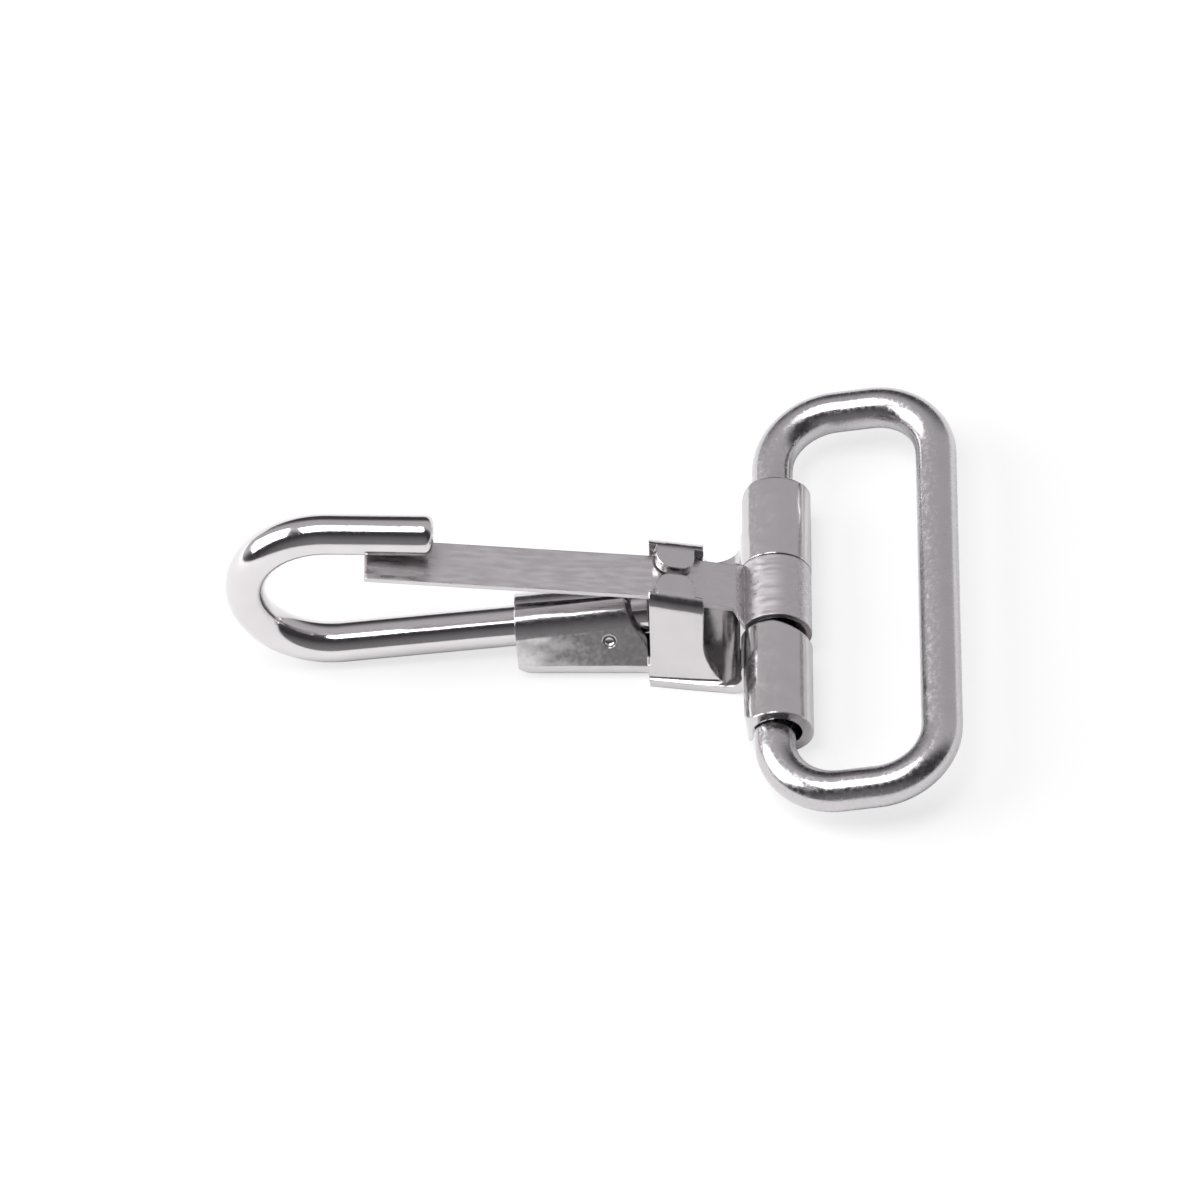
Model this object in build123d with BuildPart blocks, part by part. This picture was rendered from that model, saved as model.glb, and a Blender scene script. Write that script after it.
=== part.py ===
"""Webbing hook: a bent wire hook held in a folded sheet body, a leaf spring gate and a wire loop.

Millimetres, +Z up. The origin is the axis of the loop's bar, inside the body's knuckles. The hook's
nose points back along -X, the loop lies towards +X, and the bar runs along Y. The body, the knuckles
and the hook's bend all rest on the plane Z = floor_z.
"""

import os
from math import acos, atan2, cos, degrees, hypot, radians, sin, tan

from build123d import *

os.makedirs("parts", exist_ok=True)

# Driving dimensions
wire_diameter = 4.0  # wire of the hook and of the loop
sheet = 1.1  # body sheet thickness
leaf_thickness = 0.6  # spring steel strip

loop_inner_length = 40.8  # webbing slot, along the bar
loop_inner_gap = 12.3  # webbing slot, across
loop_corner_radius = 6.4  # bend radius of the wire's centreline
loop_tilt = 5.8  # degrees, free side up from level

knuckle_play = 0.37  # radial room round the bar
bar_shift = 0.25  # the bar lies this far off the knuckles' centre
knuckle_end_far = 13.0  # outer end of the far knuckle, from the body's centre
knuckle_end_near = 14.8  # outer end of the near knuckle
knuckle_gap = 0.4  # room each side of the leaf's knuckle
knuckle_slant = 1.0  # how far the near seam runs off square

bend_radius = 8.1  # hook bend, centreline
shank_length = 30.3  # straight shank, from the bend to its hidden end
shank_end = -12.0  # X of the shank's hidden end
shank_slope = 3.3  # degrees, rising towards the loop
nose_length = 10.3  # straight nose
nose_closing = 9.3  # degrees, the nose closes towards the shank
hook_lean = 5.0  # degrees, the bend leans over its shank
nose_edge = 0.9  # rounding of the nose tip

sleeve_start = -25.1  # X of the sleeve's open end
channel_start = -12.4  # X where the sleeve ends and the channel walls begin
wall_start = -11.4  # X of the walls' upright edge
wall_end = -6.3  # X where the walls stop, at their top
crimp_gap = 0.02  # sleeve to shank
start_half_width = 4.9  # base of the body at the sleeve's open end
middle_half_width = 6.1  # base at the end of the sleeve
channel_half_width = 6.9  # base under the walls
shoulder_half_width = 8.0  # base where it meets the knuckles
top_half_width = 3.8  # outside of the walls at their top
fold_radius = 1.7  # outside radius of the folds

leaf_width = 4.7  # blade
neck_width = 5.1  # between the tabs and the knuckle
leaf_knuckle_width = 7.1  # rolled end
leaf_bend_x = -11.3  # X of the bend under the tabs
leaf_bend_z = 6.15  # middle of the sheet there
leaf_tip_x = -38.3  # X of the free tip
neck_slope = 18.7  # degrees, falling towards the knuckle
neck_run = 0.3  # the neck ends this far before the roll
leaf_knuckle_lift = 0.4  # the rolled end rides this much higher than the knuckles
gate_gap = 0.05  # leaf to nose
tab_gap = 0.22  # leaf to tabs
tab_reach = 2.6  # how far the tabs reach in from the walls
tab_length = 3.7
tab_overlap = 0.1  # the clearing between the tabs runs this far into the walls
tab_corner = 1.35  # corner radius of the tabs
tab_setback = 0.3  # tabs to the walls' upright edge
neck_flare = 0.9  # length over which the neck widens to the rolled end
neck_step = 1.0  # length over which the blade widens to the neck
roll_start = 158  # degrees round the roll, from +X, where the neck meets it
roll_end = -150  # degrees round the roll, where the strip ends

riser_radius = 2.6  # bend between the base and the knuckles, middle of the sheet
knuckle_wrap = 125  # degrees below +X where the knuckles' strip ends
knuckle_trim = 0.35  # the riser outside the shoulders stops this far inside the knuckles
knuckle_corner = 1.5  # rounding of the knuckles' outer corners
slot_start = -3.55  # X where the slot for the leaf's rolled end begins
base_corner = 1.2  # outside radius of the fold along the base
corner_cut = 1.9  # slant of the sleeve's lower front corner, along X
corner_rise = 1.5  # the same slant, along Z
seam_open = 0.7  # seam of the sleeve at its open end
seam_closed = 0.15  # seam at its other end
punch_x = -16.0  # stake mark on the near side of the sleeve
punch_rise = 0.6  # its height over the shank's axis
punch_radius = 0.7
punch_depth = 0.3
notch_foot_x = -12.1  # lowest point of the relief notch between sleeve and wall
notch_foot_z = -0.7
notch_left_x = -14.9  # where the notch leaves the top of the sleeve
notch_rise = 1.2  # height of that point over the sleeve's top
wall_foot_x = -8.2  # X where the walls' base reaches its channel width
wall_round_z = 5.6  # the walls' free edge is upright above this height
wall_curve_x = -6.7  # and curves out to the riser below this point
wall_curve_z = 2.2
wall_curve_mid_x = -6.35  # a point half way along that curve
wall_curve_mid_z = -0.6
shoulder_step = 0.6  # the base widens by this much in the riser
clear = 20.0  # cuts reach this far past the part

# Sizes that follow
wire_radius = wire_diameter / 2
bore_radius = wire_radius + knuckle_play
knuckle_radius = bore_radius + sheet
floor_z = -knuckle_radius
sleeve_radius = wire_radius + crimp_gap + sheet
leaf_roll_radius = knuckle_radius
leaf_roll_bore = leaf_roll_radius - leaf_thickness
slot_half = leaf_knuckle_width / 2 + knuckle_gap

bend_x = shank_end - shank_length * cos(radians(shank_slope))
bend_foot_z = floor_z + wire_radius + bend_radius * (1 - cos(radians(shank_slope)))


def shank_height(x):
    """Z of the shank's axis at x. The bend's lowest point touches the floor plane."""
    return bend_foot_z + (x - bend_x) * tan(radians(shank_slope))


# Wire hook: shank, bend and nose, in a plane that leans over the shank
shank_dir = Vector(cos(radians(shank_slope)), 0, sin(radians(shank_slope)))
shank_up = Vector(-sin(radians(shank_slope)), 0, cos(radians(shank_slope)))
lean_up = shank_up * cos(radians(hook_lean)) + Vector(0, 1, 0) * sin(radians(hook_lean))
hook_plane = Plane(
    origin=(shank_end, 0, shank_height(shank_end)),
    x_dir=shank_dir,
    z_dir=shank_dir.cross(lean_up),
)

with BuildPart() as hook:
    with BuildLine(hook_plane) as hook_path:
        shank_line = Line((0, 0), (-shank_length, 0))
        bend_arc = JernArc(
            start=(-shank_length, 0),
            tangent=(-1, 0),
            radius=bend_radius,
            arc_size=-(180 + nose_closing),
        )
        nose_line = Line(bend_arc @ 1, bend_arc @ 1 + (bend_arc % 1) * nose_length)
    with BuildSketch(Plane(origin=shank_line @ 0, z_dir=shank_line % 0)):
        Circle(wire_radius)
    sweep(path=hook_path.wires()[0])
    nose_tip = nose_line @ 1
    tip_face = hook.faces().sort_by_distance(nose_tip)[0]
    fillet(tip_face.edges(), nose_edge)
hook.part.label = "hook"
export_step(hook.part, "parts/hook.step")

# Wire loop: a rounded rectangle with one long side as the bar
loop_length = loop_inner_length + wire_diameter
loop_width = loop_inner_gap + wire_diameter
loop_plane = Plane(
    origin=(0, 0, 0),
    x_dir=(cos(radians(loop_tilt)), 0, sin(radians(loop_tilt))),
    z_dir=(-sin(radians(loop_tilt)), 0, cos(radians(loop_tilt))),
)

with BuildPart() as loop:
    with BuildLine(loop_plane) as loop_path:
        half = loop_length / 2 - loop_corner_radius
        bar = Line((0, -half), (0, half))
        corner_a = JernArc(bar @ 1, bar % 1, loop_corner_radius, -90)
        arm_a = Line(corner_a @ 1, corner_a @ 1 + (corner_a % 1) * (loop_width - 2 * loop_corner_radius))
        corner_b = JernArc(arm_a @ 1, arm_a % 1, loop_corner_radius, -90)
        free_bar = Line(corner_b @ 1, corner_b @ 1 + (corner_b % 1) * (2 * half))
        corner_c = JernArc(free_bar @ 1, free_bar % 1, loop_corner_radius, -90)
        arm_b = Line(corner_c @ 1, corner_c @ 1 + (corner_c % 1) * (loop_width - 2 * loop_corner_radius))
        corner_d = JernArc(arm_b @ 1, arm_b % 1, loop_corner_radius, -90)
    with BuildSketch(Plane(origin=bar @ 0, z_dir=bar % 0)):
        Circle(wire_radius)
    sweep(path=loop_path.wires()[0])
loop.part.label = "loop"
export_step(loop.part, "parts/loop.step")

# Leaf spring gate: tip under the nose, bend under the tabs, dip, then the roll round the bar
roll_center = (bar_shift, leaf_knuckle_lift)
nose_dir = nose_line % 1
nose_at_tip = nose_tip + nose_dir * ((leaf_tip_x - nose_tip.X) / nose_dir.X)
leaf_tip_z = nose_at_tip.Z - wire_radius - gate_gap - leaf_thickness / 2
neck_end_x = roll_center[0] - leaf_roll_radius - neck_run
neck_end_z = leaf_bend_z - (neck_end_x - leaf_bend_x) * tan(radians(neck_slope))
roll_mid = leaf_roll_radius - leaf_thickness / 2


def on_circle(center, radius, angle):
    """Point of a circle in the side view."""
    return (center[0] + radius * cos(radians(angle)), center[1] + radius * sin(radians(angle)))


side_view = Plane.XZ

with BuildPart() as leaf_spring:
    with BuildSketch(side_view) as leaf_profile:
        with BuildLine():
            blade = Polyline(
                (leaf_tip_x, leaf_tip_z),
                (leaf_bend_x, leaf_bend_z),
                (neck_end_x, neck_end_z),
                on_circle(roll_center, roll_mid, roll_start),
            )
            CenterArc(roll_center, roll_mid, roll_start, roll_end - roll_start)
            offset(amount=leaf_thickness / 2, side=Side.BOTH, closed=True)
        make_face()
    extrude(amount=leaf_knuckle_width / 2, both=True)
    with BuildSketch(Plane.XY.offset(floor_z)) as blank_outline:
        with BuildLine():
            Polyline(
                (leaf_tip_x - clear, -leaf_width / 2),
                (leaf_bend_x, -leaf_width / 2),
                (leaf_bend_x + neck_step, -neck_width / 2),
                (neck_end_x, -neck_width / 2),
                (neck_end_x + neck_flare, -leaf_knuckle_width / 2),
                (clear, -leaf_knuckle_width / 2),
                (clear, leaf_knuckle_width / 2),
                (neck_end_x + neck_flare, leaf_knuckle_width / 2),
                (neck_end_x, neck_width / 2),
                (leaf_bend_x + neck_step, neck_width / 2),
                (leaf_bend_x, leaf_width / 2),
                (leaf_tip_x - clear, leaf_width / 2),
                close=True,
            )
        make_face()
    extrude(amount=2 * clear, mode=Mode.INTERSECT)
leaf_spring.part.label = "leaf_spring"
export_step(leaf_spring.part, "parts/leaf_spring.step")


# Folded body
def sleeve_outline(half_width, axis_z):
    """Corner points of the sleeve's section: base corner and the point where its side meets the top arc."""
    drop = axis_z - floor_z
    reach = hypot(half_width, drop)
    angle = atan2(-drop, half_width) + acos(sleeve_radius / reach)
    return (sleeve_radius * cos(angle), axis_z + sleeve_radius * sin(angle))


def sleeve_section(x, half_width):
    """Outer section of the sleeve: flat base, leaning sides and a round top over the shank."""
    axis_z = shank_height(x)
    side_y, side_z = sleeve_outline(half_width, axis_z)
    with BuildSketch(Plane(origin=(x, 0, 0), x_dir=(0, 1, 0), z_dir=(1, 0, 0))) as section:
        with BuildLine():
            Polyline((-side_y, side_z), (-half_width, floor_z), (half_width, floor_z), (side_y, side_z))
            ThreePointArc((side_y, side_z), (0, axis_z + sleeve_radius), (-side_y, side_z))
        make_face()
        fillet(section.vertices().group_by(Axis.Y)[0], base_corner)
    return section.sketch


def tab_top(x):
    """Z of the tabs' upper face at x, parallel to the leaf's neck."""
    middle = leaf_bend_z - (x - leaf_bend_x) * tan(radians(neck_slope))
    return middle + (leaf_thickness / 2 + tab_gap + sheet) / cos(radians(neck_slope))


def channel_section(x, half_width):
    """Outer section of the channel: flat base, walls that lean in and folds at the top."""
    with BuildSketch(Plane(origin=(x, 0, 0), x_dir=(0, 1, 0), z_dir=(1, 0, 0))) as section:
        with BuildLine():
            Polyline(
                (-half_width, floor_z),
                (half_width, floor_z),
                (top_half_width, tab_top(x)),
                (-top_half_width, tab_top(x)),
                close=True,
            )
        make_face()
        fillet(section.vertices().group_by(Axis.Y)[0], base_corner)
        fillet(section.vertices().group_by(Axis.Y)[-1], fold_radius)
    return section.sketch


def inner(section):
    """The same section, one sheet thickness further in."""
    return offset(section, amount=-sheet, kind=Kind.INTERSECTION, mode=Mode.PRIVATE)


knuckle_center = (bar_shift, 0)
knuckle_left = knuckle_center[0] - knuckle_radius + knuckle_trim
knuckle_mid = knuckle_radius - sheet / 2
base_mid_z = floor_z + sheet / 2
riser_reach = 2 * (knuckle_mid * riser_radius) ** 0.5
riser_center = (knuckle_center[0] - riser_reach, base_mid_z + riser_radius)
meet_angle = 180 + degrees(atan2(-riser_center[1], riser_reach))


sleeve_notch = [
    (notch_foot_x, notch_foot_z),
    (notch_left_x, sleeve_radius + notch_rise),
    (notch_left_x, clear),
    (notch_foot_x, clear),
]
wall_notch = [
    (notch_left_x, notch_foot_z),
    (notch_foot_x, notch_foot_z),
    (wall_start, tab_top(wall_start)),
    (wall_start, clear),
    (notch_left_x, clear),
]
tab_middle_x = wall_start + tab_length / 2 + tab_setback
tab_plane = Plane(
    origin=(tab_middle_x, 0, tab_top(tab_middle_x) - (sheet + tab_gap / 2) / cos(radians(neck_slope))),
    x_dir=(cos(radians(neck_slope)), 0, -sin(radians(neck_slope))),
    z_dir=(sin(radians(neck_slope)), 0, cos(radians(neck_slope))),
)


def tube(stations):
    """Folded sheet between the outer sections, hollow by one sheet thickness."""
    with BuildPart(mode=Mode.PRIVATE) as folded:
        loft([station.faces()[0] for station in stations], ruled=True)
        loft([inner(station).faces()[0] for station in stations], ruled=True, mode=Mode.SUBTRACT)
    return folded.part


with BuildPart() as body:
    # base, riser and knuckles, as one strip rolled over the bar
    with BuildSketch(side_view):
        with BuildLine():
            base_line = Line((channel_start, base_mid_z), (riser_center[0], base_mid_z))
            riser_turn = 90 - (180 - meet_angle)
            CenterArc(riser_center, riser_radius, -90, riser_turn)
            CenterArc(knuckle_center, knuckle_mid, meet_angle, -(meet_angle + knuckle_wrap))
            offset(amount=sheet / 2, side=Side.BOTH, closed=True)
        make_face()
    extrude(amount=clear, both=True)
    with BuildSketch(Plane.XY.offset(floor_z - sheet)) as plan:
        with BuildLine():
            Polyline(
                (channel_start, -middle_half_width),
                (wall_foot_x, -channel_half_width),
                (riser_center[0], -shoulder_half_width + shoulder_step),
                (knuckle_left, -shoulder_half_width),
                (knuckle_left, -knuckle_end_near),
                (clear, -knuckle_end_near),
                (clear, knuckle_end_far),
                (knuckle_left, knuckle_end_far),
                (knuckle_left, shoulder_half_width),
                (riser_center[0], shoulder_half_width - shoulder_step),
                (wall_foot_x, channel_half_width),
                (channel_start, middle_half_width),
                close=True,
            )
        make_face()
        outer_corners = plan.vertices().filter_by_position(Axis.X, knuckle_left, knuckle_left)
        fillet([v for v in outer_corners if abs(v.Y) > shoulder_half_width + sheet], knuckle_corner)
    extrude(amount=2 * clear, mode=Mode.INTERSECT)
    # slot for the leaf's knuckle
    with BuildSketch(Plane.XY.offset(floor_z - sheet)):
        with BuildLine():
            Polyline(
                (slot_start, -slot_half),
                (knuckle_center[0], -slot_half),
                (clear, -slot_half - knuckle_slant * clear / (knuckle_radius - knuckle_center[0])),
                (clear, slot_half),
                (slot_start, slot_half),
                close=True,
            )
        make_face()
    extrude(amount=2 * clear, mode=Mode.SUBTRACT)

    # sleeve and channel, as two folded tubes that share the base
    sleeve_stations = [
        sleeve_section(sleeve_start, start_half_width),
        sleeve_section(channel_start, middle_half_width),
    ]
    channel_stations = [
        channel_section(channel_start, middle_half_width),
        channel_section(wall_foot_x, channel_half_width),
        channel_section(riser_center[0], shoulder_half_width - shoulder_step),
    ]
    sleeve_tube = tube(sleeve_stations)
    channel_tube = tube(channel_stations)

    # side view of what stays of each tube
    with BuildPart(mode=Mode.PRIVATE) as sleeve_shape:
        add(sleeve_tube)
        with BuildSketch(side_view):
            with BuildLine():
                Polyline(*sleeve_notch, close=True)
            make_face()
            with BuildLine():
                Polyline(
                    (sleeve_start - sheet, floor_z - sheet),
                    (sleeve_start + corner_cut, floor_z - sheet),
                    (sleeve_start + corner_cut, floor_z),
                    (sleeve_start, floor_z + corner_rise),
                    (sleeve_start - sheet, floor_z + corner_rise),
                    close=True,
                )
            make_face()
        extrude(amount=clear, both=True, mode=Mode.SUBTRACT)
        with BuildSketch(Plane.XY):
            with BuildLine():
                Polyline(
                    (sleeve_start - sheet, -seam_open / 2),
                    (channel_start + sheet, -seam_closed / 2),
                    (channel_start + sheet, seam_closed / 2),
                    (sleeve_start - sheet, seam_open / 2),
                    close=True,
                )
            make_face()
        extrude(amount=clear, mode=Mode.SUBTRACT)
        punch_z = shank_height(punch_x) + punch_rise
        with Locations((punch_x, -sleeve_radius - punch_radius + punch_depth, punch_z)):
            Sphere(punch_radius, mode=Mode.SUBTRACT)
    add(sleeve_shape.part)

    with BuildPart(mode=Mode.PRIVATE) as channel_shape:
        add(channel_tube)
        with BuildSketch(side_view):
            with BuildLine():
                Polyline(*wall_notch, close=True)
            make_face()
            with BuildLine():
                Line((wall_end, clear), (wall_end, wall_round_z))
                Line((wall_end, wall_round_z), (wall_curve_x, wall_curve_z))
                ThreePointArc(
                    (wall_curve_x, wall_curve_z),
                    (wall_curve_mid_x, wall_curve_mid_z),
                    (riser_center[0], floor_z + sheet),
                )
                Line((riser_center[0], floor_z + sheet), (clear, floor_z + sheet))
                Line((clear, floor_z + sheet), (clear, clear))
                Line((clear, clear), (wall_end, clear))
            make_face()
        extrude(amount=clear, both=True, mode=Mode.SUBTRACT)
        with BuildSketch(tab_plane):
            Rectangle(2 * clear, 2 * (top_half_width - sheet + tab_overlap))
            for side in (-1, 1):
                with Locations((0, side * (top_half_width - tab_reach / 2))):
                    RectangleRounded(tab_length, tab_reach + fold_radius, tab_corner, mode=Mode.SUBTRACT)
        extrude(amount=clear, mode=Mode.SUBTRACT)
    add(channel_shape.part)
body.part.label = "body"
export_step(body.part, "parts/body.step")
print("bend centre X %.2f, hook tip %s" % (bend_x, tuple(round(c, 2) for c in nose_tip)))
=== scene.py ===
"""Webbing hook: finishes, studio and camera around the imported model. Metres throughout."""

from math import cos, radians, sin

import bpy
from mathutils import Matrix, Vector


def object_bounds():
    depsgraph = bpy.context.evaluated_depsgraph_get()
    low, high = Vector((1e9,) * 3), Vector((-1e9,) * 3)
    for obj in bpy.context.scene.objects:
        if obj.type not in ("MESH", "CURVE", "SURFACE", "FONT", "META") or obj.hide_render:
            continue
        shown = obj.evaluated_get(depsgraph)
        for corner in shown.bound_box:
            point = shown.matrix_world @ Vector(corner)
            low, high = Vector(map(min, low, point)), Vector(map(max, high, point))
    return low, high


MM = 0.001

# Surface of the plate
CLOUD_SIZE = 2.5  # mm, patches of slightly different tone
LINE_SIZE = 0.4  # mm, fine lines from drawing and polishing
LINE_STRETCH = 0.04  # how far those lines run along a drawn strip
LINE_DEPTH = 0.004  # mm
LINE_STRENGTH = 0.03
ROUGHNESS_SPREAD = 0.25  # the lines vary the roughness by this share

# Studio
FLOOR_SIZE = 3.0  # m
FLOOR_GLOW = 0.72  # share of plain white that the camera sees in the paper

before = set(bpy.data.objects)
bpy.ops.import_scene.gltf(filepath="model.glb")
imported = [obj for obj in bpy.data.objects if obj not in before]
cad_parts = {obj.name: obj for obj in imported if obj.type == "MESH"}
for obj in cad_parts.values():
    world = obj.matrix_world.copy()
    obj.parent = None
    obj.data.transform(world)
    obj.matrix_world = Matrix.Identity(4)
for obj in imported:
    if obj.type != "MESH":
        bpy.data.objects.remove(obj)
cad_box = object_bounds()
floor_height = cad_box[0][2]


# Shader helpers
def linear(hex_colour):
    """sRGB hex to the linear colour that shaders take."""
    channels = [int(hex_colour[i : i + 2], 16) / 255 for i in (1, 3, 5)]
    straight = [c / 12.92 if c <= 0.04045 else ((c + 0.055) / 1.055) ** 2.4 for c in channels]
    return (*straight, 1.0)


def add_node(tree, kind, settings=None, inputs=None):
    """Adds a node. settings are its properties, and an input is a value or another node's output."""
    node = tree.nodes.new(kind)
    for name, value in (settings or {}).items():
        setattr(node, name, value)
    for name, value in (inputs or {}).items():
        if isinstance(value, bpy.types.NodeSocket):
            tree.links.new(value, node.inputs[name])
        else:
            node.inputs[name].default_value = value
    return node


def new_material(name):
    """An empty node material with its output, as (material, tree, output)."""
    material = bpy.data.materials.new(name)
    material.use_nodes = True
    material.node_tree.nodes.clear()
    output = add_node(material.node_tree, "ShaderNodeOutputMaterial")
    return material, material.node_tree, output


def per_metre(size_mm):
    """Texture scale at which one cell of a pattern is size_mm across."""
    return 1 / (size_mm * MM)


# Finishes
def plated_metal(name, light, dark, roughness, ripple_mm, ripple_depth, edge_mm, brush=None):
    """Nickel plate on steel, with a slow ripple from forming, cloudy tone and worn-round edges.

    Sizes are in mm. brush is the axis along which the fine lines run, on a drawn strip.
    """
    material, tree, output = new_material(name)
    place = add_node(tree, "ShaderNodeTexCoord").outputs["Object"]
    stretch = Vector((1, 1, 1))
    if brush is not None:
        stretch[brush] = LINE_STRETCH
    mapped = add_node(tree, "ShaderNodeMapping", inputs={"Vector": place, "Scale": stretch})
    cloud = add_node(
        tree, "ShaderNodeTexNoise", inputs={"Vector": place, "Scale": per_metre(CLOUD_SIZE), "Detail": 3.0}
    )
    lines = add_node(
        tree,
        "ShaderNodeTexNoise",
        inputs={"Vector": mapped.outputs["Vector"], "Scale": per_metre(LINE_SIZE), "Detail": 0.0},
    )
    tone = add_node(
        tree,
        "ShaderNodeMix",
        {"data_type": "RGBA"},
        {"Factor": cloud.outputs["Fac"], "A": linear(dark), "B": linear(light)},
    )
    rough = add_node(
        tree,
        "ShaderNodeMapRange",
        inputs={
            "Value": lines.outputs["Fac"],
            "From Min": 0.3,
            "From Max": 0.7,
            "To Min": roughness * (1 - ROUGHNESS_SPREAD),
            "To Max": roughness * (1 + ROUGHNESS_SPREAD),
        },
    )
    ripple = add_node(
        tree, "ShaderNodeTexNoise", inputs={"Vector": place, "Scale": per_metre(ripple_mm), "Detail": 1.0}
    )
    edge = add_node(tree, "ShaderNodeBevel", {"samples": 6}, {"Radius": edge_mm * MM})
    formed = add_node(
        tree,
        "ShaderNodeBump",
        inputs={
            "Strength": 1.0,
            "Distance": ripple_depth * MM,
            "Height": ripple.outputs["Fac"],
            "Normal": edge.outputs["Normal"],
        },
    )
    drawn = add_node(
        tree,
        "ShaderNodeBump",
        inputs={
            "Strength": LINE_STRENGTH,
            "Distance": LINE_DEPTH * MM,
            "Height": lines.outputs["Fac"],
            "Normal": formed.outputs["Normal"],
        },
    )
    shader = add_node(
        tree,
        "ShaderNodeBsdfPrincipled",
        inputs={
            "Base Color": tone.outputs["Result"],
            "Metallic": 1.0,
            "Roughness": rough.outputs["Result"],
            "Normal": drawn.outputs["Normal"],
        },
    )
    tree.links.new(shader.outputs["BSDF"], output.inputs["Surface"])
    return material


def bright_wire_nickel():
    """Bright nickel on drawn wire: clear mirror with soft ripples along the bend."""
    return plated_metal("bright_nickel_wire", "#D7D4D5", "#CDCACB", 0.11, 6.0, 0.05, 0.25)


def loop_wire_nickel():
    """Tumbled nickel on the loop's wire: a little duller than the hook."""
    return plated_metal("tumbled_nickel_wire", "#C9C6C8", "#BFBCBE", 0.22, 7.0, 0.04, 0.25)


def folded_sheet_nickel():
    """Nickel on folded sheet: bright, with shallow waves where the press shaped it."""
    return plated_metal("nickel_folded_sheet", "#D0CDCE", "#C5C2C3", 0.17, 3.0, 0.08, 0.22)


def spring_strip_nickel():
    """Satin nickel on rolled spring strip, with fine lines along its length."""
    return plated_metal("satin_nickel_strip", "#CECACC", "#C8C4C6", 0.34, 9.0, 0.02, 0.1, brush=0)


def dress(node_name, material):
    """Gives a piece its finish."""
    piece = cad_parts[node_name]
    piece.data.materials.clear()
    piece.data.materials.append(material)


dress("hook", bright_wire_nickel())
dress("loop", loop_wire_nickel())
dress("body", folded_sheet_nickel())
dress("leaf_spring", spring_strip_nickel())


# Studio
def pale_floor():
    """Matt white paper: nearly white to the eye, with the object's shadow kept soft."""
    material, tree, output = new_material("white_paper")
    matt = add_node(tree, "ShaderNodeBsdfDiffuse", inputs={"Color": linear("#F2F2F2")})
    glow = add_node(tree, "ShaderNodeEmission", inputs={"Color": (1, 1, 1, 1), "Strength": 1.0})
    ray = add_node(tree, "ShaderNodeLightPath")
    share = add_node(
        tree,
        "ShaderNodeMath",
        {"operation": "MULTIPLY"},
        {0: ray.outputs["Is Camera Ray"], 1: FLOOR_GLOW},
    )
    both = add_node(
        tree,
        "ShaderNodeMixShader",
        inputs={0: share.outputs["Value"], 1: matt.outputs["BSDF"], 2: glow.outputs["Emission"]},
    )
    tree.links.new(both.outputs["Shader"], output.inputs["Surface"])
    return material


def lay_floor():
    """A plain sheet that the hook lies on."""
    mesh = bpy.data.meshes.new("floor")
    half = FLOOR_SIZE / 2
    corners = [(-half, -half), (half, -half), (half, half), (-half, half)]
    mesh.from_pydata([(x, y, floor_height) for x, y in corners], [], [(0, 1, 2, 3)])
    floor = bpy.data.objects.new("floor", mesh)
    floor.data.materials.append(pale_floor())
    bpy.context.collection.objects.link(floor)


# Tones of the room from its near side (0) to its far side (1)
ROOM = (
    (0.00, "#8E8C8E"),
    (0.22, "#3E3C40"),
    (0.44, "#48464A"),
    (0.60, "#D2D0D2"),
    (0.84, "#C6C4C6"),
    (0.96, "#4A484C"),
)


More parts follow.
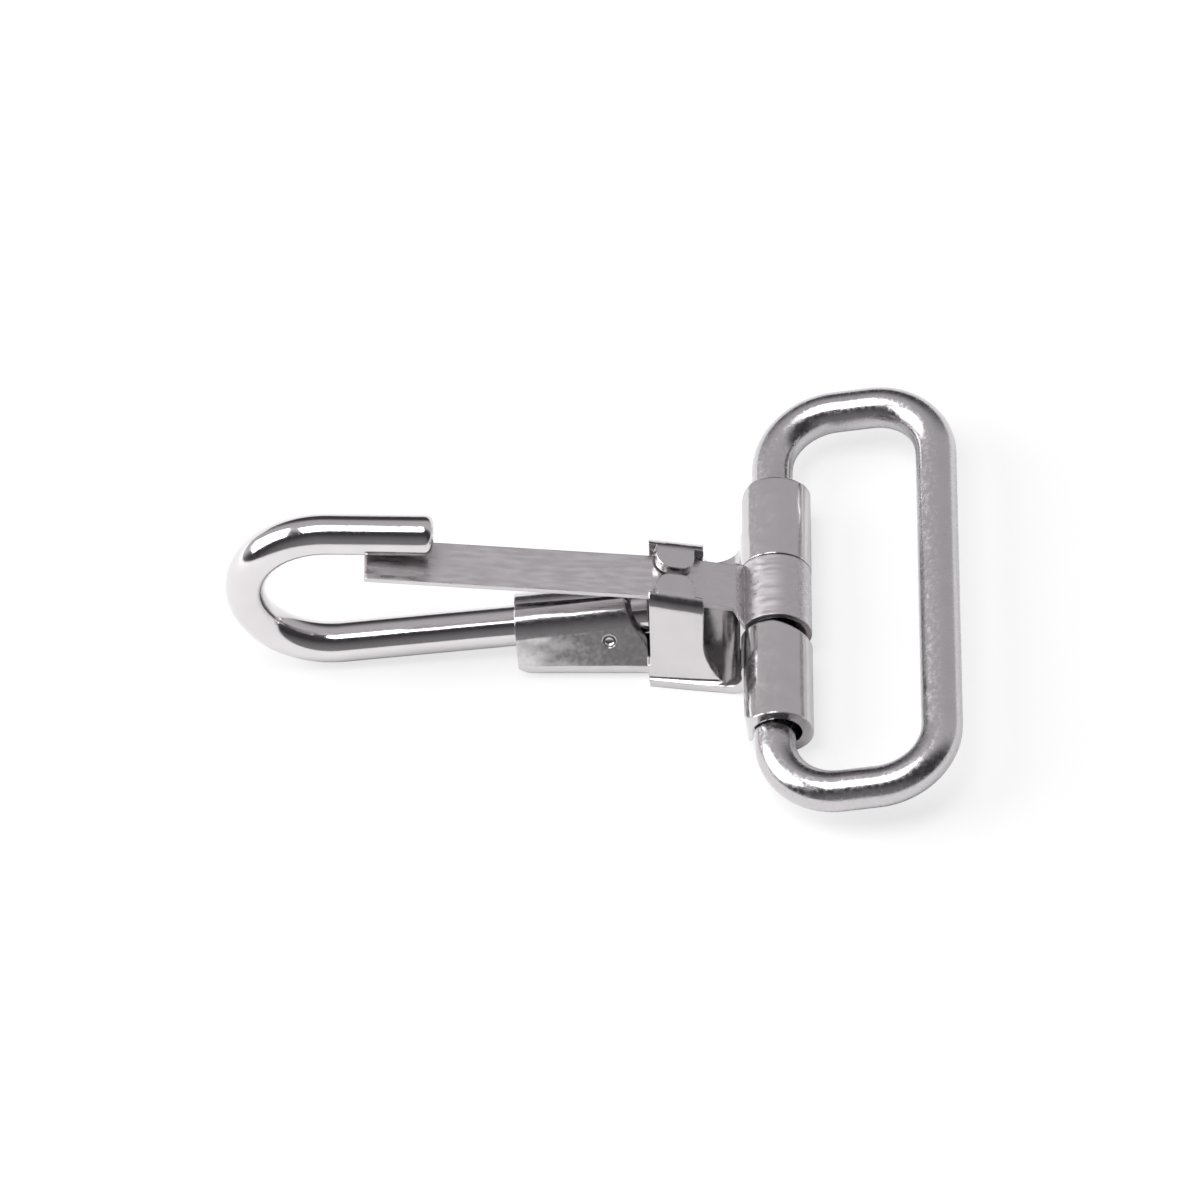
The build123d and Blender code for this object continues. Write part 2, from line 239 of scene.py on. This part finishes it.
def studio_world():
    """A grey room: dark behind the camera, light above the far side, white where the camera sees it."""
    world = bpy.data.worlds.new("studio")
    bpy.context.scene.world = world
    world.use_nodes = True
    tree = world.node_tree
    tree.nodes.clear()
    direction = add_node(tree, "ShaderNodeTexCoord").outputs["Generated"]
    across = add_node(tree, "ShaderNodeSeparateXYZ", inputs={"Vector": direction}).outputs["Y"]
    depth = add_node(tree, "ShaderNodeMapRange", inputs={"Value": across, "From Min": -1.0, "From Max": 1.0})
    ramp = add_node(tree, "ShaderNodeValToRGB", inputs={"Fac": depth.outputs["Result"]})
    stops = ramp.color_ramp.elements
    for stop, (position, tone) in zip((stops[0], stops[1], *(stops.new(1.0) for _ in ROOM[2:])), ROOM):
        stop.position = position
        stop.color = linear(tone)
    ray = add_node(tree, "ShaderNodeLightPath").outputs["Is Camera Ray"]
    seen = add_node(
        tree,
        "ShaderNodeMix",
        {"data_type": "RGBA"},
        {"Factor": ray, "A": ramp.outputs["Color"], "B": (1, 1, 1, 1)},
    )
    light = add_node(tree, "ShaderNodeBackground", inputs={"Color": seen.outputs["Result"], "Strength": 1.0})
    output = add_node(tree, "ShaderNodeOutputWorld")
    tree.links.new(light.outputs["Background"], output.inputs["Surface"])


def softbox(name, place, size, watts, middle):
    """A square soft lamp at place that faces the middle of the object."""
    lamp = bpy.data.lights.new(name, "AREA")
    lamp.shape = "SQUARE"
    lamp.size = size
    lamp.energy = watts
    stand = bpy.data.objects.new(name, lamp)
    stand.location = place
    stand.rotation_euler = (middle - Vector(place)).to_track_quat("-Z", "Y").to_euler()
    bpy.context.collection.objects.link(stand)


middle = (Vector(cad_box[0]) + Vector(cad_box[1])) / 2
lay_floor()
studio_world()
softbox("left_softbox", (-0.55, 0.05, 0.35), 0.45, 4.0, middle)
softbox("top_softbox", (-0.15, -0.02, 0.8), 0.4, 4.0, middle)

# Camera: a long lens above the near side, turned so that the loop's bar stands upright in the frame
ELEVATION = 55.0  # degrees, above the plane of the loop's bar and the shank
TURN = 6.0  # degrees, the floor's rise from the nose to the loop in the frame
FRAME_WIDTH = 116.5 * MM
DISTANCE = 1.0
FRAME_CENTRE = (-16.87 * MM, 0.66 * MM)  # along the frame's right and up, from the bar's axis

right = Vector((cos(radians(TURN)), 0, -sin(radians(TURN))))
away = Vector((sin(radians(TURN)), 0, cos(radians(TURN))))
up = away * cos(radians(ELEVATION)) + Vector((0, 1, 0)) * sin(radians(ELEVATION))
back = right.cross(up)

lens = bpy.data.cameras.new("camera")
lens.sensor_width = 36
lens.lens = lens.sensor_width * DISTANCE / FRAME_WIDTH
camera = bpy.data.objects.new("camera", lens)
turned = Matrix((right, up, back)).transposed().to_4x4()
camera.matrix_world = (
    Matrix.Translation(right * FRAME_CENTRE[0] + up * FRAME_CENTRE[1] + back * DISTANCE) @ turned
)
bpy.context.collection.objects.link(camera)
bpy.context.scene.camera = camera
bpy.context.scene.view_settings.view_transform = "Standard"
